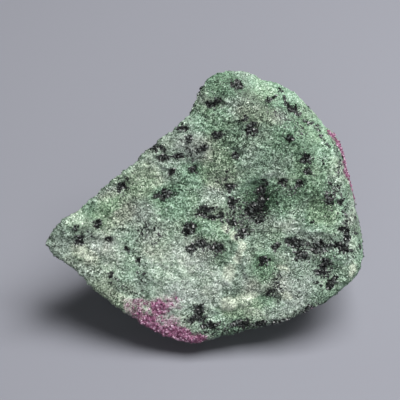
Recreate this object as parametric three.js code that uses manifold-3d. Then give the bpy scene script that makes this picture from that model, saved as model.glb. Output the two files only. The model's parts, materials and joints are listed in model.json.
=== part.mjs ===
// A rough stone of ruby in zoisite, grown as one piece, so it is one solid.
// Millimetres, +Z up. The stone lies on its worn underside at z = 0, and the origin is on that plane
// under the middle of its bounding box.
//
// Its shape is worked out in the frame of its broad face: x across the face, y up the face, and z out
// of the face, with the origin at the stone's middle. It is then leaned back onto its underside.
import * as THREE from "three";
import { ConvexGeometry } from "three/addons/geometries/ConvexGeometry.js";
import { ImprovedNoise } from "three/addons/math/ImprovedNoise.js";
import { TessellateModifier } from "three/addons/modifiers/TessellateModifier.js";
import { mergeVertices } from "three/addons/utils/BufferGeometryUtils.js";
import Module from "manifold-3d";

// Driving dimensions.
const faceTilt = 48; // degrees from level to the broad face
const restDepth = 17.0; // from the stone's middle down to the surface that it lies on
const edgeSharpness = 36; // 2 is an egg, and a higher number turns the corners more tightly
const longestSide = 2.4; // of the triangles that the skin is made of
const cornerGap = 0.8; // corners closer together than this are one corner

// The planes that it broke along. "around" is the way that a plane faces round the broad face, in
// degrees from +x towards +y. "lean" is how far it faces out of the broad face, and below 0 it faces
// the back. "reach" is its distance from the stone's middle.
const planes = [
  { name: "broad face", around: -100, lean: 86, reach: 9.5 },
  { name: "long edge", around: 133, lean: -28, reach: 12.8 },
  { name: "crown", around: 94, lean: -12, reach: 29.0 },
  { name: "crown slope", around: 70, lean: -15, reach: 26.1 },
  { name: "crown bevel", around: 58, lean: 42, reach: 23.3 },
  { name: "shoulder", around: 44, lean: -5, reach: 26.9 },
  { name: "right side", around: 14, lean: 8, reach: 27.0 },
  { name: "right bevel", around: 12, lean: 48, reach: 23.0 },
  { name: "right corner", around: 3, lean: -5, reach: 28.2 },
  { name: "lower right", around: -45, lean: -25, reach: 21.6 },
  { name: "right keel", around: -62, lean: -26, reach: 18.9 },
  { name: "front keel", around: -80, lean: -22, reach: 19.2 },
  { name: "left keel", around: -121, lean: -34, reach: 17.0 },
  { name: "tip keel", around: -131, lean: -35, reach: 17.0 },
  { name: "left tip", around: -173, lean: -20, reach: 29.7 },
  { name: "underside", around: -90, lean: -48, reach: 18.4 },
  { name: "back", around: 95, lean: -72, reach: 15.0 },
  { name: "back right", around: 20, lean: -50, reach: 20.0 },
  { name: "back left", around: 165, lean: -60, reach: 15.5 },
];

// Chipped hollows, and swellings where "depth" is below 0. "at" is on the skin, and "breadth" is the
// distance from there at which the hollow has faded to about a third.
const hollows = [
  { name: "long edge bite", at: [-14, 11, 8], breadth: 12, depth: 2.4 },
  { name: "notch under the crown", at: [-6, 19.5, 8], breadth: 5, depth: 2.3 },
  { name: "crown nose", at: [0.5, 27, 7], breadth: 5, depth: -1.1 },
  { name: "bottom corner", at: [-4, -24, 6], breadth: 4.5, depth: -0.9 },
  { name: "keel chip", at: [8.5, -22.5, 6], breadth: 5, depth: 0.9 },
  { name: "basin", at: [7, 3, 9], breadth: 9, depth: 1.8 },
  { name: "right basin", at: [16.6, 7, 8], breadth: 6, depth: 1.0 },
  { name: "dark band", at: [18.6, -5, 8], breadth: 5, depth: 0.8 },
  { name: "pale ridge", at: [3, -6, 9], breadth: 4, depth: -0.6 },
  { name: "right ridge", at: [16, 0.5, 9], breadth: 4, depth: -0.6 },
  { name: "ruby step", at: [23.6, 15, 1], breadth: 3, depth: -0.8 },
];

// Uneven breaks all over, coarse and fine: how far apart the bumps are, and how high.
const unevenness = [
  { pitch: 11, height: 0.8 },
  { pitch: 4.5, height: 0.35 },
];

// The planes and hollows as vectors.
function direction(around, lean) {
  const turn = THREE.MathUtils.degToRad(around);
  const rise = THREE.MathUtils.degToRad(lean);
  return new THREE.Vector3(
    Math.cos(rise) * Math.cos(turn),
    Math.cos(rise) * Math.sin(turn),
    Math.sin(rise),
  );
}

const breaks = planes.map(({ around, lean, reach }) => ({ normal: direction(around, lean), reach }));
const chips = hollows.map(({ at, breadth, depth }) => ({
  centre: new THREE.Vector3(...at),
  breadth,
  depth,
}));
const bumps = new ImprovedNoise();

// Where three planes meet, or undefined if two of them are nearly parallel.
function meeting(a, b, c) {
  const acrossBC = new THREE.Vector3().crossVectors(b.normal, c.normal);
  const acrossCA = new THREE.Vector3().crossVectors(c.normal, a.normal);
  const acrossAB = new THREE.Vector3().crossVectors(a.normal, b.normal);
  const spread = a.normal.dot(acrossBC);
  const leastSpread = 1e-3;
  if (Math.abs(spread) < leastSpread) return undefined;
  return acrossBC
    .multiplyScalar(a.reach)
    .addScaledVector(acrossCA, b.reach)
    .addScaledVector(acrossAB, c.reach)
    .divideScalar(spread);
}

// The corners of the fresh break: three planes meet there, and no other plane cuts them off.
function cornersOfBreak() {
  const corners = [];
  const slack = 1e-6;
  const isNew = (point) => corners.every((corner) => corner.distanceTo(point) > cornerGap);
  const isKept = (point) => breaks.every(({ normal, reach }) => normal.dot(point) < reach + slack);
  for (const [i, a] of breaks.entries()) {
    for (const [j, b] of breaks.slice(0, i).entries()) {
      for (const c of breaks.slice(0, j)) {
        const point = meeting(a, b, c);
        if (point && isKept(point) && isNew(point)) corners.push(point);
      }
    }
  }
  return corners;
}

// The fresh break, with flat planes and sharp edges, in small triangles whose sides run along those
// edges.
function freshBreak() {
  const block = new ConvexGeometry(cornersOfBreak());
  block.deleteAttribute("normal");
  const mostSplits = 40;
  return mergeVertices(new TessellateModifier(longestSide, mostSplits).modify(block));
}

// Where the worn skin is along a ray from the stone's middle. The high power lets the nearest plane
// decide, and blends it into its neighbours over a worn edge.
function skinAlong(ray) {
  let sum = 0;
  for (const { normal, reach } of breaks) {
    sum += (Math.max(normal.dot(ray), 0) / reach) ** edgeSharpness;
  }
  const point = ray.clone().multiplyScalar(sum ** (-1 / edgeSharpness));
  for (const { centre, breadth, depth } of chips) {
    const away = point.distanceTo(centre) / breadth;
    point.addScaledVector(ray, -depth * Math.exp(-away * away));
  }
  for (const { pitch, height } of unevenness) {
    const place = point.clone().divideScalar(pitch);
    point.addScaledVector(ray, height * bumps.noise(place.x, place.y, place.z));
  }
  return point;
}

function wornStone() {
  const stone = freshBreak();
  const position = stone.getAttribute("position");
  const ray = new THREE.Vector3();
  for (let i = 0; i < position.count; i += 1) {
    ray.fromBufferAttribute(position, i).normalize();
    const point = skinAlong(ray);
    position.setXYZ(i, point.x, point.y, point.z);
  }
  return stone;
}

// Joining and cutting solids.
const wasm = await Module();
wasm.setup();

function solidOf(geometry) {
  const { index, attributes } = geometry;
  return new wasm.Manifold(
    new wasm.Mesh({
      numProp: 3,
      vertProperties: new Float32Array(attributes.position.array),
      triVerts: new Uint32Array(index.array),
    }),
  );
}

function geometryOf(solid) {
  const { numProp, vertProperties, triVerts } = solid.getMesh();
  const geometry = new THREE.BufferGeometry();
  geometry.setAttribute("position", new THREE.BufferAttribute(vertProperties, numProp));
  geometry.setIndex(new THREE.BufferAttribute(triVerts, 1));
  return geometry;
}

function groundBelow(height) {
  const width = 120; // well past the stone on every side
  const block = new THREE.BoxGeometry(width, width, width);
  block.deleteAttribute("normal");
  block.deleteAttribute("uv");
  block.translate(0, 0, height - width / 2);
  return mergeVertices(block);
}

// The stone leans back, and its underside is worn flat where it lies.
const leaning = solidOf(wornStone().rotateX(THREE.MathUtils.degToRad(faceTilt)));
const stoneGeometry = geometryOf(leaning.subtract(solidOf(groundBelow(-restDepth))));
stoneGeometry.computeBoundingBox();
const middle = stoneGeometry.boundingBox.getCenter(new THREE.Vector3());
stoneGeometry.translate(-middle.x, -middle.y, restDepth);
stoneGeometry.computeVertexNormals();

const zoisite = new THREE.MeshStandardMaterial({
  name: "ruby_in_zoisite",
  color: 0x7f9d86,
  roughness: 0.7,
  metalness: 0,
});

const stone = new THREE.Mesh(stoneGeometry, zoisite);
stone.name = "stone";

const part = new THREE.Group();
part.add(stone);

export default part;
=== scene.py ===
import json
import math

import bmesh
import bpy
import numpy as np
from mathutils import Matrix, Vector, noise

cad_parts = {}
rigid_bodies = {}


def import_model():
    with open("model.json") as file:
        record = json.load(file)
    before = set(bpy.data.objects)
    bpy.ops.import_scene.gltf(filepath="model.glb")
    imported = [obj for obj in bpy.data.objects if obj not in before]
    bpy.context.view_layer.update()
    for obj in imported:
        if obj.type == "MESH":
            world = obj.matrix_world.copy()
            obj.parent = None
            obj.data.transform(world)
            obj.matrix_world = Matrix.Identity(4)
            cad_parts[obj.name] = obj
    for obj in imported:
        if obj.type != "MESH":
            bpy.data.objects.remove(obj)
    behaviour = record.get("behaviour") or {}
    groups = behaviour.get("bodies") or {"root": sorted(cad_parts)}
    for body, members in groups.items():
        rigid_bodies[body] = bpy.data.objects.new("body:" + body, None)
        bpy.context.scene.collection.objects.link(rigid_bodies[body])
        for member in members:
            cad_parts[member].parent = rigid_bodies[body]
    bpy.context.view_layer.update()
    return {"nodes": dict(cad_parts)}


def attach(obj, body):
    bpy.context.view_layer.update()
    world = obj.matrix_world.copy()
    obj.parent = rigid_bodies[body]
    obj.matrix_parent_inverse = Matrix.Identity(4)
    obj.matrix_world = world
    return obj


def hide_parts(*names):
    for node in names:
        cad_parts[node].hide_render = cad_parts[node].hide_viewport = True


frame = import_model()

mm = 0.001

# The marks are placed on the broad face: x across it, y up it and z out of it, from the stone's middle.
broadFace = {
    "middle": Vector((2.3, 0.5, 17.0)) * mm,
    "tilt": math.radians(48),
}


class Wire:
    # an output socket, on which + - * / add Math or Vector Math nodes
    def __init__(self, board, socket):
        self.board = board
        self.socket = socket

    def __add__(self, other):
        return self.board.maths("ADD", self, other)

    def __radd__(self, other):
        return self.board.maths("ADD", other, self)

    def __sub__(self, other):
        return self.board.maths("SUBTRACT", self, other)

    def __rsub__(self, other):
        return self.board.maths("SUBTRACT", other, self)

    def __mul__(self, other):
        return self.board.maths("MULTIPLY", self, other)

    def __rmul__(self, other):
        return self.board.maths("MULTIPLY", other, self)

    def __truediv__(self, other):
        return self.board.maths("DIVIDE", self, other)

    def __rtruediv__(self, other):
        return self.board.maths("DIVIDE", other, self)

    def other(self, name):
        return Wire(self.board, self.socket.node.outputs[name])


class Board:
    # a node tree that is wired up by expressions
    def __init__(self, tree):
        self.tree = tree

    def add(self, kind, settings=None, sockets=None, out=0):
        node = self.tree.nodes.new(kind)
        for name, value in (settings or {}).items():
            if name == "stops":
                ramp = node.color_ramp
                while len(ramp.elements) < len(value):
                    ramp.elements.new(0.5)
                for element, (place, colour) in zip(ramp.elements, value):
                    element.position = place
                    element.color = colour
            else:
                setattr(node, name, value)
        for key, value in (sockets or {}).items():
            if isinstance(value, Wire):
                self.tree.links.new(value.socket, node.inputs[key])
            else:
                node.inputs[key].default_value = value
        return Wire(self, node.outputs[out])

    def maths(self, operation, *values):
        onVectors = any(isinstance(v, Wire) and v.socket.type in ("VECTOR", "RGBA") for v in values)
        if onVectors:
            values = [(v, v, v) if isinstance(v, (int, float)) else v for v in values]
        kind = "ShaderNodeVectorMath" if onVectors else "ShaderNodeMath"
        return self.add(kind, {"operation": operation}, dict(enumerate(values)))

    def step(self, value, low, high):
        # 0 below low and 1 above high, smooth between them
        settings = {"interpolation_type": "SMOOTHSTEP"}
        return self.add("ShaderNodeMapRange", settings, {"Value": value, "From Min": low, "From Max": high})

    def blend(self, factor, a, b):
        settings = {"data_type": "RGBA", "clamp_factor": True}
        return self.add("ShaderNodeMix", settings, {0: factor, 6: a, 7: b}, out=2)

    def ramp(self, value, *stops):
        return self.add("ShaderNodeValToRGB", {"stops": stops}, {0: value})

    def clouds(self, place, size, detail=2.0, roughness=0.5, seed=0.0):
        # soft noise from 0 to 1, whose lumps are about this many millimetres across
        sockets = {"Vector": place, "W": seed, "Scale": 1 / size, "Detail": detail, "Roughness": roughness}
        return self.add("ShaderNodeTexNoise", {"noise_dimensions": "4D"}, sockets)

    def cells(self, place, size):
        # one random colour to each grain of about this many millimetres
        return self.add("ShaderNodeTexVoronoi", None, {"Vector": place, "Scale": 1 / size})

    def split(self, colour):
        return self.add("ShaderNodeSeparateColor", None, {0: colour})


def srgb(red, green, blue):
    # a colour given as on a screen, 0 to 255
    def linear(v):
        v /= 255
        return v / 12.92 if v <= 0.04045 else ((v + 0.055) / 1.055) ** 2.4
    return (linear(red), linear(green), linear(blue), 1.0)


def plainMesh(source, name):
    # what a piece looks like with its modifiers, as a mesh of its own
    graph = bpy.context.evaluated_depsgraph_get()
    graph.update()
    mesh = bpy.data.meshes.new_from_object(source.evaluated_get(graph))
    mesh.name = name
    return mesh


body = {
    "voxel": 0.6 * mm,
    "relax": 3,
}


def makeBody():
    mesh = frame["nodes"]["stone"].data.copy()
    shell = bmesh.new()
    shell.from_mesh(mesh)
    bmesh.ops.remove_doubles(shell, verts=shell.verts, dist=0.001 * mm)
    shell.to_mesh(mesh)
    shell.free()
    mesh.materials.clear()
    stone = bpy.data.objects.new("stoneSkin", mesh)
    bpy.context.scene.collection.objects.link(stone)
    remesh = stone.modifiers.new("remesh", "REMESH")
    remesh.mode = "VOXEL"
    remesh.voxel_size = body["voxel"]
    relax = stone.modifiers.new("relax", "SMOOTH")
    relax.iterations = body["relax"]
    finer = stone.modifiers.new("finer", "SUBSURF")
    finer.levels = finer.render_levels = 1
    stone.data = plainMesh(stone, "stoneSkin")
    stone.modifiers.clear()
    print("body:", len(stone.data.polygons), "faces")
    return stone


def faceCoordinates(vectors, middle=(0, 0, 0)):
    # x, y and z on the broad face, from metres in the stone's frame
    away = (vectors.reshape(-1, 3) - np.array(middle)) / mm
    cos, sin = math.cos(broadFace["tilt"]), math.sin(broadFace["tilt"])
    return np.stack([away[:, 0], away[:, 1] * cos + away[:, 2] * sin, -away[:, 1] * sin + away[:, 2] * cos], 1)


def readMesh(items, name, size, kind=float):
    values = np.empty(len(items) * size, kind)
    items.foreach_get(name, values)
    return values


flatMap = {
    "rows": ((2, 5), (1, 4), (0, 3)),  # which sides lie next to each other: x, y, z, then the sides behind them
    "gap": 1.5,  # millimetres
}


def layFlatMap(stone):
    # the skin laid flat from six sides, so that its finish can be baked sharply
    mesh = stone.data
    corners = faceCoordinates(readMesh(mesh.vertices, "co", 3))[readMesh(mesh.loops, "vertex_index", 1, np.int32)]
    facing = faceCoordinates(readMesh(mesh.polygons, "normal", 3))
    side = np.argmax(np.abs(facing), 1)
    side += 3 * (facing[np.arange(len(side)), side] < 0)
    side = np.repeat(side, readMesh(mesh.polygons, "loop_total", 1, np.int32))
    spots = np.zeros((len(corners), 2))
    top = 0
    for row in flatMap["rows"]:
        left = tallest = 0
        for chart in row:
            here = side == chart
            flat = np.delete(corners[here], chart % 3, 1)
            flat -= flat.min(0)
            spots[here] = flat + (left, top)
            left += flat[:, 0].max() + flatMap["gap"]
            tallest = max(tallest, flat[:, 1].max())
        top += tallest + flatMap["gap"]
    spots /= spots.max()
    mesh.uv_layers.new(name="OFBake").data.foreach_set("uv", spots.ravel())


# What grows where on the broad face. A patch is x, y, half width, half height, in millimetres, and its turn
# in degrees; it is full to half way out and fades away by one and a half times its size.
hornblendeClusters = [
    (4.0, 24.7, 1.2, 1.0, 0), (0.4, 21.8, 0.7, 0.5, 20), (-1.1, 20.9, 0.8, 0.6, 0), (-6.3, 16.5, 0.8, 0.7, 0),
    (0.2, 15.2, 1.1, 0.8, 0), (6.8, 16.2, 1.0, 1.3, -20), (5.5, 18.2, 0.6, 0.5, 0), (10.4, 21.9, 1.0, 0.4, 5),
    (13.7, 21.1, 1.5, 0.5, -50), (15.8, 19.9, 1.2, 0.5, -50), (-10.2, 12.4, 0.8, 0.5, -25),
    (-7.2, 11.0, 1.0, 0.7, 0), (-5.2, 14.2, 0.7, 0.6, 0), (-2.4, 12.6, 0.8, 0.9, 0), (-4.4, 8.6, 1.1, 0.8, 0),
    (3.8, 11.2, 0.6, 0.6, 0), (17.3, 10.6, 1.1, 0.9, 0), (17.4, 8.2, 0.7, 0.7, 0), (14.0, 14.6, 0.6, 0.6, 0),
    (-9.7, 3.8, 2.0, 0.8, 10), (-17.7, 5.4, 1.0, 0.9, 0), (-11.8, 12.6, 0.8, 0.7, 0),
    (2.9, 5.3, 1.2, 1.0, 0), (9.5, 6.3, 0.6, 0.5, 0), (12.6, 6.2, 1.0, 0.6, 15), (8.6, 4.6, 0.9, 1.3, 0),
    (15.8, 5.9, 1.0, 0.7, 0), (21.5, 3.1, 1.0, 1.4, 0), (23.6, 2.4, 0.5, 0.8, 0), (7.2, 0.8, 2.2, 1.6, 30),
    (8.6, 2.8, 1.1, 1.2, 0), (8.4, -1.0, 1.0, 0.9, 0), (-2.1, 0.8, 1.6, 0.9, 20), (0.8, -0.4, 1.1, 0.7, -10),
    (-5.0, -2.7, 1.5, 1.1, 20), (5.1, -3.6, 1.5, 1.0, 30), (-2.8, -5.6, 1.6, 1.0, 0), (0.1, -6.4, 1.7, 1.1, -10),
    (-4.7, -6.6, 1.1, 0.8, 0), (11.4, -5.9, 0.9, 0.6, 30), (15.0, -5.4, 1.7, 1.0, -20), (16.4, -7.8, 1.7, 0.9, -20),
    (19.6, -6.3, 2.0, 1.5, 0), (23.4, -6.0, 2.2, 0.8, -8), (20.8, -9.6, 1.0, 1.3, 0), (20.0, -10.8, 1.3, 1.0, 20),
    (24.0, -2.8, 0.5, 0.6, 0), (25.0, -3.4, 0.5, 2.4, 5), (9.2, -8.8, 0.9, 0.7, 10), (11.2, -6.6, 0.5, 0.4, -15),
    (10.2, -14.6, 0.9, 0.8, 30), (-3.2, -18.4, 1.0, 1.7, -30), (-4.4, -20.0, 1.2, 0.8, 10), (-0.7, -0.6, 0.9, 0.6, 0), (-1.0, -21.2, 2.0, 0.6, 10), (4.6, -20.9, 2.2, 0.8, 5), (8.4, -20.9, 1.5, 0.6, 12), (-2.6, -20.2, 0.9, 0.8, 0),
    (11.6, -20.9, 2.2, 0.6, 14), (22.2, -13.0, 0.8, 1.3, -30), (-25.8, -4.8, 1.2, 1.0, -50), (-26.6, -2.6, 0.5, 0.5, 0),
    (-22.6, -1.7, 0.7, 0.7, 0), (-20.3, -4.8, 0.8, 0.7, 0), (-20.0, -11.4, 0.6, 0.6, 0), (-16.9, -6.5, 0.5, 0.5, 0),
    (3.2, 2.3, 0.9, 1.2, 0), (3.1, -1.5, 1.2, 0.8, 0), (-9.8, 10.9, 1.4, 0.7, -10), (18.6, -1.4, 0.4, 0.3, 0),
    (-14.8, -8.6, 0.6, 0.6, 0), (17.6, -18.2, 1.3, 0.5, 25), (-8.4, 8.2, 0.7, 0.6, 0), (24.8, -6.8, 1.2, 0.7, 0),
]
# fewer black grains, scattered
hornblendeScatter = [
    (-4.0, 12.0, 3.0, 2.2, -30), (-12.8, -3.4, 2.8, 2.2, 0), (-14.0, -11.5, 1.0, 2.6, 0), (24.9, -1.5, 0.9, 6.0, 0),
    (20.5, -11.5, 3.6, 2.6, 35), (12.0, -20.9, 8.0, 1.2, 14), (4.0, -21.8, 5.0, 1.6, 5), (13.2, 18.4, 2.4, 1.6, -40), (13.8, 4.8, 2.6, 1.1, 0), (-18.0, 5.6, 2.8, 1.6, 30),
    (7.4, 1.6, 3.4, 4.0, 20), (-1.6, 0.2, 3.4, 1.6, 0), (-1.8, -6.0, 3.8, 1.6, -5), (19.2, -6.6, 5.6, 2.6, 0),
    (-25.6, -4.4, 2.2, 1.6, 0), (-18.8, -13.0, 4.0, 0.9, -35), (0.4, 20.6, 2.0, 0.9, 25), (1.2, 6.6, 2.2, 2.4, 0),
    (3.8, -1.0, 3.0, 2.6, 0), (-17.6, 5.0, 2.4, 1.4, 30), (15.6, 16.4, 2.6, 1.0, -50), (23.2, 11.4, 0.8, 3.6, 15),
    (11.6, -13.4, 1.8, 3.0, 0), (22.6, 3.4, 1.8, 3.4, 0), (18.0, -18.0, 4.0, 1.0, 25), (-1.4, -22.2, 4.0, 1.0, 5),
]
# thin dark strokes along the right rim: painted shade in its chips and cracks, added to the black mark
rimCrackShade = [
    (16.9, 18.6, 0.9, 0.35, -50), (18.2, 17.9, 0.9, 0.35, -50), (19.4, 16.7, 0.9, 0.35, -55), (20.5, 14.8, 1.0, 0.35, -60),
    (21.3, 13.1, 0.8, 0.3, -65), (23.0, 8.2, 0.9, 0.35, -72), (22.0, 6.1, 0.8, 0.35, -60),
    (23.6, 4.8, 0.8, 0.4, -75), (20.6, 10.4, 0.7, 0.3, -70), (12.0, 23.4, 0.8, 0.25, -25), (24.4, 0.6, 0.9, 0.4, -80),
]
# where the stone is darker: partly a darker green, partly painted shade in its hollows and along the lower rim
shadePatches = [
    (12.4, 3.2, 5.4, 2.4, 0), (7.6, 1.0, 3.6, 4.6, 0), (19.6, 3.6, 2.6, 3.0, 35), (2.2, 15.6, 4.0, 2.8, 0),
    (-7.6, 6.4, 2.2, 1.6, -20), (-1.8, -6.4, 3.4, 1.6, -10), (7.6, -9.8, 2.4, 2.4, 0), (26.4, -8.6, 1.2, 2.6, 0),
    (22.4, -14.8, 2.0, 3.4, -35), (12.0, -21.4, 9.0, 1.6, 14), (2.6, 24.6, 3.6, 2.2, 0), (7.6, 21.4, 2.6, 1.8, -20), (8.8, 20.0, 4.4, 3.0, -30), (10.8, 20.0, 1.8, 1.4, 0), (17.8, 19.2, 2.4, 1.2, -50), (2.3, -15.0, 1.4, 1.0, 0), (2.2, 26.0, 3.0, 1.6, 0),
    (11.8, 15.2, 2.2, 2.4, 0), (14.2, 4.8, 3.0, 1.6, 0), (15.2, -12.2, 2.6, 1.8, 0), (16.0, -15.8, 2.6, 1.4, 0),
    (18.0, 8.4, 3.0, 2.4, 0), (16.6, 17.6, 3.4, 2.4, -50), (11.0, -14.4, 1.8, 2.2, 0), (14.6, 11.4, 2.6, 4.0, 20),
    (2.8, -14.7, 3.2, 1.6, 15), (3.0, -14.7, 2.0, 1.0, 15), (10.4, -10.4, 2.0, 1.8, 0), (6.2, 17.2, 3.6, 2.6, -20), (3.6, 13.8, 2.6, 2.4, 0), (11.0, 10.4, 2.8, 2.4, 0),
    (-18.6, 0.2, 5.0, 2.2, 25), (-14.8, 1.8, 3.0, 2.4, 0), (4.2, -0.8, 3.0, 2.4, 0), (17.4, 3.0, 3.8, 1.8, 0),
    (15.2, -8.4, 3.0, 1.8, 0), (7.8, -12.6, 1.8, 2.6, 0), (0.2, -8.2, 2.4, 1.6, 0), (-9.8, 3.4, 2.6, 1.6, 0),
    (-15.2, -1.0, 2.2, 2.0, 0), (10.3, -3.6, 2.6, 1.8, 0), (-14.8, -14.6, 2.4, 1.6, -30), (-22.4, -4.6, 2.0, 1.6, 0),
    (1.0, -23.2, 6.0, 1.8, 5), (18.8, 3.4, 1.8, 1.6, 0), (9.0, 3.4, 2.4, 2.6, 0), (27.2, -1.6, 1.0, 3.0, 0), (-1.4, 14.0, 2.6, 1.2, 0), (20.8, 0.4, 2.0, 1.2, 0),
]
# and where it is lighter: partly a paler tone, partly a painted highlight along the right rim
brightPatches = [
    (-9.4, 10.2, 3.0, 2.0, 10), (0.2, -19.8, 2.2, 1.6, 0), (11.4, -20.2, 3.4, 1.2, 12), (-26.6, -0.6, 2.0, 1.6, 30),
    (21.2, 11.0, 1.8, 3.6, 25), (22.8, -12.4, 2.0, 2.0, 0), (6.6, -16.2, 1.4, 0.9, 0), (-13.2, 14.4, 2.0, 1.2, 40),
    (11.0, -17.4, 4.4, 1.2, 15), (-20.8, -5.6, 4.0, 1.4, -30), (22.8, 6.8, 1.2, 3.0, 10), (-7.4, -9.4, 3.4, 2.0, 0),
    (0.6, -13.2, 2.6, 2.2, 0), (-7.8, -15.6, 2.4, 1.6, 0), (0.9, -17.6, 1.6, 1.2, 0), (19.0, -3.0, 2.4, 0.8, 0),
    (-18.6, -9.6, 2.4, 1.6, 0), (-9.0, -17.6, 2.2, 1.2, -30), (6.0, 4.2, 1.4, 1.8, 0),
    (12.6, -13.4, 1.4, 1.2, 0), (18.8, -12.2, 1.6, 1.2, 0), (-15.4, 7.2, 3.6, 1.3, 40), (-22.4, -0.2, 1.4, 1.2, 0),
    (1.3, 7.4, 1.6, 1.2, 0), (11.4, 7.6, 1.4, 1.0, 0), (21.6, 14.0, 1.0, 2.8, 25), (-5.6, 11.4, 2.8, 1.2, -20),
    (22.4, 9.6, 0.9, 1.8, 0), (-2.6, 21.6, 1.2, 2.4, -20), (-7.6, -14.1, 1.6, 1.2, 0), (-13.5, -8.9, 1.4, 1.2, 0),
]
palePatches = [
    (-6.6, -11.0, 9.0, 6.4, -10), (-20.6, -5.4, 5.4, 3.0, -25), (15.4, -14.2, 4.0, 3.2, 0), (6.2, -11.4, 2.0, 4.6, 15),
    (12.9, 17.4, 2.8, 1.6, -35), (0.4, -14.8, 5.0, 3.4, 0), (-16.4, 0.6, 4.0, 2.4, 20), (-3.6, 13.0, 3.0, 2.4, 0),
    (12.8, 9.4, 2.6, 2.4, 0), (-12.5, -15.8, 5.4, 3.0, -30), (-20.4, 3.8, 3.0, 1.4, 35), (13.6, -2.2, 2.2, 1.2, 0),
    (14.6, -9.4, 3.6, 1.8, -10), (-9.6, -18.0, 6.0, 2.6, -30), (25.4, -6.0, 1.6, 5.0, 0), (10.0, 7.6, 1.4, 0.8, 20),
    (26.6, -0.8, 1.4, 4.0, 0), (17.6, 20.2, 4.4, 1.4, -45),
]
leafPatches = [
    (1.6, 24.4, 3.2, 2.2, 0), (11.8, 23.4, 5.0, 1.8, -25), (19.4, 13.6, 2.4, 5.0, 25), (-7.8, 3.0, 3.8, 3.0, 0),
    (-20.6, 1.6, 3.0, 1.4, 30), (19.2, -0.2, 4.0, 2.6, 0), (9.4, -10.0, 2.6, 2.4, 0),
    (-1.0, 18.0, 3.0, 2.4, 0), (-1.6, -2.6, 3.6, 1.4, -10), (9.6, -16.4, 3.0, 1.4, 0), (18.6, 7.8, 3.6, 4.4, 0),
    (-4.6, 7.4, 2.4, 2.4, 0), (11.6, 2.6, 5.0, 2.4, 0), (8.4, 4.0, 3.0, 2.6, 0), (14.0, 16.0, 2.6, 2.0, 0),
]
creamPatches = [
    (1.9, -2.6, 0.9, 0.9, 0), (3.4, -4.2, 0.8, 1.2, 35), (4.8, -6.2, 0.8, 1.3, 0), (4.1, -8.4, 0.9, 1.2, -20),
    (2.6, -11.0, 1.2, 1.7, -20), (2.4, -17.0, 1.7, 1.3, 15), (6.9, -15.6, 1.3, 0.7, 20), (13.4, -15.4, 1.2, 0.8, -10),
    (-25.0, -7.6, 1.6, 0.9, -30), (26.0, -10.4, 0.7, 1.4, 0), (12.6, -10.2, 1.2, 0.6, -20),
]
# where the green is yellower
warmPatches = [
    (-19.8, 0.6, 4.4, 2.6, 30), (0.2, 8.6, 3.0, 3.0, 0), (4.6, -17.6, 3.0, 1.6, 10), (-14.0, 6.2, 3.2, 2.2, 40),
    (20.4, 0.6, 2.6, 2.0, 0), (-25.2, -7.4, 2.4, 1.2, -30), (8.0, 18.6, 3.4, 1.6, -10), (-19.6, -16.0, 3.0, 1.2, -30),
]
rubyPatches = [
    (-10.8, -17.9, 1.8, 1.8, 0), (-7.4, -22.6, 3.6, 1.5, -22), (-3.8, -24.0, 2.2, 0.8, -5), (-12.4, -20.4, 2.6, 1.3, -35),
]
# fewer ruby grains, scattered
rubyScatter = [
    (-14.6, -18.8, 3.6, 1.6, -35), (-9.6, -20.6, 3.6, 2.4, -30), (-14.4, -16.8, 2.6, 1.0, 0), (-4.6, -23.4, 3.8, 1.2, -8),
    (-8.4, -16.8, 2.0, 1.6, 0),
]
# Ruby that goes over the edge, on the right and at the bottom: x, y, z and radius.
sideRubies = [
    (-14.8, -20.4, 5.6, 1.9), (-11.2, -22.4, 5.2, 2.2), (-7.6, -24.0, 4.8, 2.4), (-4.2, -24.8, 5.4, 2.0),
    (22.5, 15.6, 6.0, 1.3), (23.8, 14.6, 4.4, 1.9), (24.9, 12.6, 3.0, 2.0), (25.8, 10.4, 1.4, 2.6), (25.6, 8.0, 4.4, 2.4), (27.0, 5.2, 0.6, 1.8),
    (26.4, 7.2, 1.8, 1.7), (26.6, 6.2, 3.0, 1.5), (25.9, 9.6, 3.2, 1.6), (26.8, 3.4, 1.8, 1.0), (25.0, 12.2, 0.2, 1.2),
]
# Hornblende that goes over the edge, on the right and at the top.
edgeHornblende = [
    (24.6, 11.6, 5.0, 0.9), (25.0, 4.4, 5.6, 0.9), (25.4, 2.0, 6.4, 0.8), (25.8, -0.8, 7.0, 0.8), (26.2, -3.6, 7.2, 0.9),
    (27.4, -6.2, 7.0, 0.9), (26.4, 1.0, 2.4, 1.6), (27.0, -4.4, 3.2, 1.5), (1.4, 27.6, 6.6, 1.0), (-12.6, 12.4, 7.0, 1.0),
]
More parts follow.
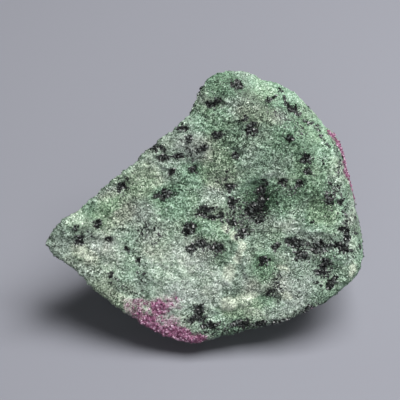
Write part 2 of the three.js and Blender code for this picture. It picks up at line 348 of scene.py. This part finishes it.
# Hollows in the broad face, with a depth after the turn. A ridge has a negative depth.
hollows = [
    (20.4, 8.5, 1.6, 4.4, 12, 0.7), (23.2, 8.0, 0.9, 5.0, 12, -0.4), (17.2, 18.2, 1.0, 3.2, 40, 0.6),
    (7.4, 1.6, 3.2, 3.4, 0, 0.6), (-2.4, -5.2, 3.6, 1.5, 0, 0.5), (18.8, -5.8, 5.4, 1.6, 0, 0.6),
    (-4.6, 9.8, 3.0, 2.0, -20, 0.4), (3.6, -4.8, 1.1, 2.8, 25, -0.45), (10.6, -9.8, 2.4, 1.5, 10, 0.5),
    (5.8, -9.8, 0.9, 2.8, 10, -0.4), (-1.0, -19.4, 3.0, 1.6, 30, 0.5), (3.2, -17.2, 2.6, 0.9, 10, -0.4),
    (-17.2, 4.6, 2.2, 1.4, 30, 0.4), (13.9, -15.0, 2.2, 1.8, 0, -0.35), (-24.4, -4.8, 2.6, 1.4, -30, 0.4),
    (1.2, 21.4, 2.4, 1.2, 20, 0.35), (12.4, 5.6, 4.6, 1.4, 0, 0.5), (-10.6, -4.0, 2.6, 1.6, 20, 0.35),
    (-8.6, -13.4, 3.4, 1.4, -25, -0.3), (9.0, 13.0, 2.0, 3.2, -15, -0.3), (-20.4, -9.8, 3.0, 1.0, -30, 0.35),
    (14.2, 11.6, 1.6, 3.6, 10, 0.35), (-28.4, -2.2, 2.6, 2.4, 0, -0.7), (-14.8, 11.2, 5.6, 2.2, 38, -0.8),
    (13.0, 23.8, 3.8, 2.0, -25, -0.9), (-14.6, -19.8, 5.0, 1.8, -35, -0.4), (-4.4, 21.6, 1.4, 3.0, -20, 0.6), (2.4, 8.8, 3.0, 1.4, 10, -0.3), (22.0, -11.4, 2.0, 2.6, -20, 0.4),
]
# The back and the underside, which the broad face's patches don't reach.
# Each kind of mark there grows in clumps: how many, how many blots in one, how far they spread and their radii.
hiddenSide = {
    "hornblende": (24, 9, 2.0, (0.4, 1.7)),
    "specks": (40, 1, 0.0, (0.3, 0.9)),
    "ruby": (5, 6, 2.0, (1.2, 2.8)),
    "pale": (9, 4, 3.0, (2.0, 5.0)),
    "leaf": (9, 4, 3.0, (2.0, 5.0)),
    "shade": (10, 4, 2.5, (1.5, 3.5)),
    "hollow": (12, 4, 2.5, (1.0, 2.6)),
    "hollowDepth": 0.45,
    "frontTurn": 0.05, "frontFade": 0.3,  # where a surface counts as part of the broad face, by its slope
    "seed": 11,
}


def makeMarks(stone):
    mesh = stone.data
    count = len(mesh.vertices)
    face = faceCoordinates(readMesh(mesh.vertices, "co", 3), broadFace["middle"])
    wobble = np.array([noise.noise_vector(Vector(p) * 0.9) for p in face]) * 0.55
    wobble += np.array([noise.noise_vector(Vector(p) * 2.2) for p in face]) * 0.25
    bent = face + wobble
    outward = faceCoordinates(readMesh(mesh.vertices, "normal", 3))[:, 2] * mm
    front = np.clip((outward - hiddenSide["frontTurn"]) / hiddenSide["frontFade"], 0, 1)
    random = np.random.RandomState(hiddenSide["seed"])

    def fade(distance):
        return np.clip(1.5 - distance, 0, 1)

    def patch(x, y, wide, high, turn):
        c, s = math.cos(math.radians(turn)), math.sin(math.radians(turn))
        dx, dy = bent[:, 0] - x, bent[:, 1] - y
        return fade(np.hypot((dx * c + dy * s) / wide, (-dx * s + dy * c) / high)) * front

    def patches(rows):
        level = np.zeros(count)
        for row in rows:
            level = np.maximum(level, patch(*row))
        return level

    def balls(rows):
        level = np.zeros(count)
        for x, y, z, radius in rows:
            level = np.maximum(level, fade(np.linalg.norm(bent - (x, y, z), axis=1) / radius))
        return level

    def hidden(kind):
        clumps, blots, spread, (low, high) = hiddenSide[kind]
        rows = []
        for pick in random.randint(0, count, clumps):
            for blot in range(blots):
                rows.append((*(face[pick] + random.normal(0, spread, 3)), random.uniform(low, high)))
        return balls(rows) * (1 - front)

    marks = {
        "hornblende": np.maximum.reduce([
            # the black mark also holds the painted crack shade along the right rim, where black grains grow too
            patches(hornblendeClusters), patches(hornblendeScatter) * 0.44, patches(rimCrackShade) * 0.7,
            balls(edgeHornblende) * 0.8, hidden("hornblende"), hidden("specks"),
        ]),
        "ruby": np.maximum(patches(rubyPatches), patches(rubyScatter) * 0.55) + balls(sideRubies) * 0.9 + hidden("ruby"),
        "pale": patches(palePatches) + hidden("pale"),
        "leaf": patches(leafPatches) + hidden("leaf"),
        # shade darkens the stone: partly darker green, partly painted shade in hollows and along the lower rim;
        # brightPatches lighten it, partly as a painted highlight on the right rim
        "shade": sum(patch(*row) for row in shadePatches) - patches(brightPatches) + hidden("shade"),
        "cream": patches(creamPatches),
        "warm": patches(warmPatches),
        "hollow": sum(patch(*row) * depth for *row, depth in hollows) + hidden("hollow") * hiddenSide["hollowDepth"],
    }
    marks["zoisite"] = 1 - np.clip(marks["hornblende"] + marks["ruby"], 0, 1)
    for name, values in marks.items():
        mesh.attributes.new(name, "FLOAT", "POINT").data.foreach_set("value", values.astype(np.float32))
    print("marks:", ", ".join(marks))


# Sizes and depths of the broken surface, in millimetres. A tilt is the slope of the small flat faces.
surface = {
    "ridgeSize": 5.0, "ridgeHeight": 0.42,
    "chipSize": 2.4, "chipTilt": 0.12,
    "facetSize": 0.95, "facetTilt": 0.17,
    "grainSize": 0.6, "grainDepth": 0.03,
    "pitDepth": 0.12,
    "seed": 3.0,
}


def makeSurfaceTree(material):
    tree = bpy.data.node_groups.new("brokenSurface", "GeometryNodeTree")
    tree.interface.new_socket("Geometry", in_out="INPUT", socket_type="NodeSocketGeometry")
    for name, value in surface.items():
        tree.interface.new_socket(name, in_out="INPUT", socket_type="NodeSocketFloat").default_value = value
    tree.interface.new_socket("Geometry", in_out="OUTPUT", socket_type="NodeSocketGeometry")
    board = Board(tree)
    given = board.add("NodeGroupInput")
    place = board.add("GeometryNodeInputPosition") * (1 / mm)
    seed = given.other("seed")

    def clouds(size, detail):
        sockets = {"Vector": place, "W": seed, "Scale": 1 / size, "Detail": detail, "Roughness": 0.6}
        return board.add("ShaderNodeTexNoise", {"noise_dimensions": "4D"}, sockets)

    def flatCells(size, tilt, bend):
        # each cell is a flat face, tipped its own way
        bent = place + (clouds(size, 2.0).other("Color") - 0.5) * size * bend
        cell = board.add("ShaderNodeTexVoronoi", None, {"Vector": bent, "Scale": 1 / size})
        lean = cell.other("Color") - 0.5
        slope = board.maths("DOT_PRODUCT", bent - cell.other("Position"), lean).other("Value")
        return slope * tilt * 2

    ridges = (clouds(given.other("ridgeSize"), 6.0) - 0.5) * given.other("ridgeHeight") * 2
    chips = flatCells(given.other("chipSize"), given.other("chipTilt"), 1.2)
    facets = flatCells(given.other("facetSize"), given.other("facetTilt"), 0.8)
    grain = board.add("ShaderNodeTexVoronoi", None, {"Vector": place, "Scale": 1 / given.other("grainSize")})
    grains = (0.35 - grain) * given.other("grainDepth") * 2
    black = board.add("GeometryNodeInputNamedAttribute", {"data_type": "FLOAT"}, {"Name": "hornblende"})
    pits = board.step(black, 0.2, 0.9) * given.other("pitDepth")
    hollow = board.add("GeometryNodeInputNamedAttribute", {"data_type": "FLOAT"}, {"Name": "hollow"})
    rise = ridges + chips + facets + grains - pits - hollow
    moved = board.add("GeometryNodeInputPosition") + board.add("GeometryNodeInputNormal") * (rise * mm)
    parts = board.add("ShaderNodeSeparateXYZ", None, {0: moved})
    kept = board.add("ShaderNodeCombineXYZ", None, {
        0: parts, 1: parts.other("Y"), 2: board.maths("MAXIMUM", parts.other("Z"), 0.0),
    })
    out = board.add("GeometryNodeSetPosition", None, {"Geometry": given, "Position": kept})
    out = board.add("GeometryNodeRealizeInstances", None, {0: out})
    out = board.add("GeometryNodeSetMaterial", None, {"Geometry": out, "Material": material})
    tree.links.new(out.socket, tree.nodes.new("NodeGroupOutput").inputs[0])
    return tree


def breakSurface(stone, material):
    tree = makeSurfaceTree(material)
    roughen = stone.modifiers.new("brokenSurface", "NODES")
    roughen.node_group = tree
    for item in tree.interface.items_tree:
        if item.in_out == "INPUT" and item.name in surface:
            roughen[item.identifier] = surface[item.name]
    stone.data = plainMesh(stone, "stoneSkin")
    stone.modifiers.clear()
    stone.data.shade_smooth()
    print("surface:", len(stone.data.polygons), "faces, box", [round(v / mm, 1) for v in stone.dimensions])


colours = {
    "leafDeep": srgb(34, 58, 38), "leafDark": srgb(86, 116, 90), "leafMid": srgb(130, 163, 135),
    "leafLight": srgb(170, 200, 174), "leafFrost": srgb(208, 230, 212),
    "greyDeep": srgb(46, 53, 45), "greyDark": srgb(104, 113, 103), "greyMid": srgb(152, 162, 151),
    "greyLight": srgb(188, 198, 187), "greyFrost": srgb(226, 233, 224),
    "coolTint": (0.97, 0.99, 1.01, 1.0), "warmTint": (1.04, 0.99, 0.93, 1.0),
    "creamDark": srgb(138, 150, 130), "creamLight": srgb(230, 240, 218),
    "black": srgb(4, 6, 5), "blackShine": srgb(19, 23, 22),
    "blackGlint": srgb(108, 116, 112),
    "rubyDeep": srgb(84, 36, 62), "rubyPink": srgb(158, 98, 132), "rubyPale": srgb(220, 190, 210),
}
grains = {
    "coarse": 0.5, "fine": 0.2,  # millimetres
    "mottle": 1.0, "broad": 6.0, "calm": 4.0, "hue": 5.0,
    "coarseTilt": 0.25, "fineTilt": 0.5,
    "bump": 0.06,
}


def makeStoneMaterial():
    material = bpy.data.materials.new("rubyInZoisite")
    material.use_nodes = True
    tree = material.node_tree
    tree.nodes.clear()
    board = Board(tree)
    place = board.add("ShaderNodeTexCoord").other("Object") * (1 / mm)
    coarse = board.cells(place, grains["coarse"]).other("Color")
    fine = board.cells(place, grains["fine"]).other("Color")
    coarseTint, fineTint = board.split(coarse), board.split(fine)
    mottle = board.clouds(place, grains["mottle"], detail=3.0, seed=2.0) - 0.5
    broad = board.clouds(place, grains["broad"], detail=3.0, seed=1.0) - 0.5
    drift = board.clouds(place, grains["broad"] * 1.3, detail=2.0, seed=5.0) - 0.5

    def mark(name):
        return board.add("ShaderNodeAttribute", {"attribute_name": name}).other("Fac")

    # zoisite, green or greyish, from dark gaps to frosted grains
    black = mark("hornblende")
    pale = mark("pale")
    greyness = 0.42 + pale * 0.2 - mark("leaf") * 0.55 + drift * 1.5 + black * 0.2
    greyness = board.step(greyness, 0.0, 1.0)
    speckle = (coarseTint - 0.5) * 0.14 + (fineTint - 0.5) * 0.66
    calm = board.clouds(place, grains["calm"], detail=1.0, seed=8.0) * 1.6 + 0.2
    light = 0.5 + speckle * calm + mottle * 0.38 + broad * 0.5
    # lighter where pale, darker near black grains and under the shade mark, which holds painted shade and a painted rim
    # highlight as well as real tone
    light = light + pale * 0.14 - mark("shade") * 0.15 - black * 0.2
    # white specks: partly pale grains, partly painted sparkle where grains would catch the light
    light = light + board.step(fineTint.other("Green"), 0.95, 0.97) * 0.35  # white specks
    leaf = board.ramp(light, *zip((0.0, 0.3, 0.52, 0.78, 1.0), (
        colours["leafDeep"], colours["leafDark"], colours["leafMid"], colours["leafLight"], colours["leafFrost"],
    )))
    grey = board.ramp(light, *zip((0.0, 0.3, 0.52, 0.78, 1.0), (
        colours["greyDeep"], colours["greyDark"], colours["greyMid"], colours["greyLight"], colours["greyFrost"],
    )))
    zoisite = board.blend(greyness, leaf, grey)
    warmth = board.step(mark("warm") * 0.6 + board.clouds(place, grains["hue"], detail=2.0, seed=12.0), 0.35, 0.85)
    zoisite = zoisite * board.blend(warmth, colours["coolTint"], colours["warmTint"])
    cream = board.ramp(light, (0.1, colours["creamDark"]), (0.7, colours["creamLight"]))
    zoisite = board.blend(board.step(mark("cream") + mottle * 0.5, 0.1, 1.0) * 0.75, zoisite, cream)

    # hornblende, as black grains that crowd together
    crowd = black - 0.04 + mottle * 1.0 + (coarseTint.other("Green") - 0.5) * 0.75
    crowd = crowd + (fineTint.other("Blue") - 0.5) * 0.5
    dark = board.blend(coarseTint.other("Blue"), colours["black"], colours["blackShine"])
    dark = board.blend(board.step(fineTint.other("Green"), 0.86, 0.9), dark, colours["blackGlint"])
    isBlack = board.step(crowd, 0.52, 0.62)
    colour = board.blend(isBlack, zoisite, dark)

    # ruby, mottled with pale grains
    pink = mark("ruby") + mottle * 0.75 + (coarseTint.other("Blue") - 0.5) * 0.2
    shade = 0.42 + (coarseTint - 0.5) * 0.45 + (fineTint - 0.5) * 0.4 + mottle * 0.8
    rubies = board.ramp(shade, (0.05, colours["rubyDeep"]), (0.5, colours["rubyPink"]), (1.0, colours["rubyPale"]))
    colour = board.blend(board.step(pink, 0.1, 0.9), colour, rubies)

    # every grain stands a little proud and faces its own way, so some catch the light
    height = (coarseTint.other("Blue") + fineTint + mottle * 2) * mm
    bumped = board.add("ShaderNodeBump", None, {"Strength": 1.0, "Distance": grains["bump"], "Height": height})
    turned = bumped + (coarse - 0.5) * grains["coarseTilt"] + (fine - 0.5) * grains["fineTilt"]
    shader = board.add("ShaderNodeBsdfPrincipled", None, {
        "Base Color": colour,
        "Roughness": 0.34 + coarseTint.other("Green") * 0.36 - isBlack * 0.16,
        "Normal": board.maths("NORMALIZE", turned),
        "IOR": 1.6,
        "Specular IOR Level": 0.35,
    })
    tree.links.new(shader.socket, tree.nodes.new("ShaderNodeOutputMaterial").inputs[0])
    return material


# Small crystals that stand on the surface where a mark runs from start to full, so many to a square
# millimetre, with their smallest and largest widths in millimetres.
crystals = {
    "hornblendeGrains": {
        "mark": "hornblende", "start": 0.35, "full": 1.0, "density": 6.0,
        "small": 0.14, "large": 0.34, "height": 1.3, "seed": 4,
    },
    "zoisiteGrains": {
        "mark": "zoisite", "start": 0.0, "full": 1.0, "density": 1.0,
        "small": 0.07, "large": 0.17, "height": 0.7, "seed": 7,
    },
    "rubyGrains": {
        "mark": "ruby", "start": 0.3, "full": 1.0, "density": 4.0,
        "small": 0.12, "large": 0.3, "height": 1.0, "seed": 9,
    },
}


def makeCrystalTree(name, kind, material):
    tree = bpy.data.node_groups.new(name, "GeometryNodeTree")
    tree.interface.new_socket("Geometry", in_out="INPUT", socket_type="NodeSocketGeometry")
    for size in ("start", "full", "density", "small", "large", "height"):
        tree.interface.new_socket(size, in_out="INPUT", socket_type="NodeSocketFloat").default_value = kind[size]
    tree.interface.new_socket("seed", in_out="INPUT", socket_type="NodeSocketInt").default_value = kind["seed"]
    tree.interface.new_socket("Geometry", in_out="OUTPUT", socket_type="NodeSocketGeometry")
    board = Board(tree)
    given = board.add("NodeGroupInput")
    seed = given.other("seed")
    level = board.add("GeometryNodeInputNamedAttribute", {"data_type": "FLOAT"}, {"Name": kind["mark"]})
    level = board.step(level, given.other("start"), given.other("full"))
    place = board.add("ShaderNodeSeparateXYZ", None, {0: board.add("GeometryNodeInputPosition")})
    clear = board.maths("GREATER_THAN", place.other("Z"), 0.7 * mm)  # none under the foot
    density = level * clear * given.other("density") * 1e6
    points = board.add("GeometryNodeDistributePointsOnFaces", None, {"Mesh": given, "Density": density, "Seed": seed})
    tint = board.add("FunctionNodeRandomValue", {"data_type": "FLOAT"}, {"Seed": seed}, out=1)
    points = board.add("GeometryNodeStoreNamedAttribute", {"data_type": "FLOAT"}, {0: points, "Name": "tint", "Value": tint})
    grain = board.add("GeometryNodeMeshCone", None, {
        "Vertices": 5, "Radius Top": 0.55, "Radius Bottom": 1.0, "Depth": 1.5,
    })
    grain = board.add("GeometryNodeTransform", None, {0: grain, "Translation": (0, 0, -0.6)})
    turn = board.add("FunctionNodeRandomValue", {"data_type": "FLOAT_VECTOR"}, {
        0: (0, 0, 0), 1: (2 * math.pi, 2 * math.pi, 2 * math.pi), "Seed": seed,
    })

    def corner(width):
        width = given.other(width) * mm
        return board.add("ShaderNodeCombineXYZ", None, {0: width, 1: width, 2: width * given.other("height")})

    scale = board.add("FunctionNodeRandomValue", {"data_type": "FLOAT_VECTOR"}, {
        0: corner("small"), 1: corner("large"), "Seed": seed + 1,
    })
    out = board.add("GeometryNodeInstanceOnPoints", None, {
        "Points": points, "Instance": grain, "Rotation": turn, "Scale": scale,
    })
    out = board.add("GeometryNodeRealizeInstances", None, {0: out})
    out = board.add("GeometryNodeSetMaterial", None, {"Geometry": out, "Material": material})
    tree.links.new(out.socket, tree.nodes.new("NodeGroupOutput").inputs[0])
    return tree


def growCrystals(stone, name, material):
    kind = crystals[name]
    piece = bpy.data.objects.new(name, stone.data.copy())
    piece.data.uv_layers.remove(piece.data.uv_layers["OFBake"])
    bpy.context.scene.collection.objects.link(piece)
    tree = makeCrystalTree(name, kind, material)
    grow = piece.modifiers.new(name, "NODES")
    grow.node_group = tree
    for item in tree.interface.items_tree:
        if item.in_out == "INPUT" and item.name in kind:
            grow[item.identifier] = kind[item.name]
    piece.data = plainMesh(piece, name)
    piece.modifiers.clear()
    piece.data.shade_flat()
    print(name + ":", len(piece.data.polygons) // 7, "grains,", len(piece.data.polygons), "faces")
    return piece


def makeGrainMaterial(name, dark, middle, light, roughness):
    material = bpy.data.materials.new(name)
    material.use_nodes = True
    tree = material.node_tree
    tree.nodes.clear()
    board = Board(tree)
    place = board.add("ShaderNodeTexCoord").other("Object") * (1 / mm)
    tint = board.add("ShaderNodeAttribute", {"attribute_name": "tint"}).other("Fac")
    cloud = board.clouds(place, 0.3, seed=6.0)
    shader = board.add("ShaderNodeBsdfPrincipled", None, {
        "Base Color": board.ramp(tint * 0.8 + cloud * 0.2, (0.1, dark), (0.6, middle), (0.95, light)),
        "Roughness": roughness + tint * 0.2,
        "IOR": 1.65,
    })
    tree.links.new(shader.socket, tree.nodes.new("ShaderNodeOutputMaterial").inputs[0])
    return material


studio = {
    "floorSize": 3.0,
    "floor": srgb(141, 142, 150),
    "sky": (0.95, 0.97, 1.0, 1.0),
    "skyStrength": 0.05,
    "target": Vector((0, 0, 15)) * mm,
}
# Each light's direction round and up from the stone in degrees, its distance and size in metres, and its watts.
lamps = {
    "softbox": {"around": 10, "up": 68, "distance": 0.5, "size": 0.34, "power": 4.2},
    "fill": {"around": 270, "up": 30, "distance": 0.5, "size": 0.25, "power": 0.35},
}
camera = {
    "elevation": math.radians(42),
    "distance": 0.3,
    "frameWidth": 78.4 * mm,
    "aim": Vector((-0.7, 2.2, 19.2)) * mm,
}


def makeFloor():
    half = studio["floorSize"] / 2
    mesh = bpy.data.meshes.new("floor")
    mesh.from_pydata([(-half, -half, 0), (half, -half, 0), (half, half, 0), (-half, half, 0)], [], [(0, 1, 2, 3)])
    floor = bpy.data.objects.new("floor", mesh)
    bpy.context.scene.collection.objects.link(floor)
    material = bpy.data.materials.new("floor")
    material.use_nodes = True
    shader = material.node_tree.nodes["Principled BSDF"]
    shader.inputs["Base Color"].default_value = studio["floor"]
    shader.inputs["Roughness"].default_value = 0.9
    shader.inputs["Specular IOR Level"].default_value = 0.2
    mesh.materials.append(material)


def makeLamp(name, lamp):
    light = bpy.data.lights.new(name, "AREA")
    light.shape = "SQUARE"
    light.size = lamp["size"]
    light.energy = lamp["power"]
    holder = bpy.data.objects.new(name, light)
    bpy.context.scene.collection.objects.link(holder)
    around, up = math.radians(lamp["around"]), math.radians(lamp["up"])
    toLamp = Vector((math.cos(around) * math.cos(up), math.sin(around) * math.cos(up), math.sin(up)))
    holder.location = studio["target"] + toLamp * lamp["distance"]
    holder.rotation_euler = toLamp.to_track_quat("Z", "Y").to_euler()


def makeStudio():
    makeFloor()
    for name, lamp in lamps.items():
        makeLamp(name, lamp)
    world = bpy.data.worlds.new("room")
    world.use_nodes = True
    background = world.node_tree.nodes["Background"]
    background.inputs["Color"].default_value = studio["sky"]
    background.inputs["Strength"].default_value = studio["skyStrength"]
    bpy.context.scene.world = world
    bpy.context.scene.view_settings.view_transform = "Standard"
    print("studio:", ", ".join(lamps))


def makeCamera():
    lens = bpy.data.cameras.new("camera")
    lens.lens = lens.sensor_width * camera["distance"] / camera["frameWidth"]
    holder = bpy.data.objects.new("camera", lens)
    bpy.context.scene.collection.objects.link(holder)
    back = Vector((0, -math.cos(camera["elevation"]), math.sin(camera["elevation"])))
    holder.location = camera["aim"] + back * camera["distance"]
    holder.rotation_euler = back.to_track_quat("Z", "Y").to_euler()
    bpy.context.scene.camera = holder


makeCamera()
makeStudio()
stoneSkin = makeBody()
layFlatMap(stoneSkin)
makeMarks(stoneSkin)
stoneMaterial = makeStoneMaterial()
breakSurface(stoneSkin, stoneMaterial)
grainMaterials = {
    "hornblendeGrains": makeGrainMaterial("hornblende", colours["black"], colours["blackShine"], colours["blackGlint"], 0.25),
    "zoisiteGrains": stoneMaterial,
    "rubyGrains": makeGrainMaterial("ruby", colours["rubyDeep"], colours["rubyPink"], colours["rubyPale"], 0.3),
}
for grainName in crystals:
    grown = growCrystals(stoneSkin, grainName, grainMaterials[grainName])
    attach(grown, "root")
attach(stoneSkin, "root")
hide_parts("stone")
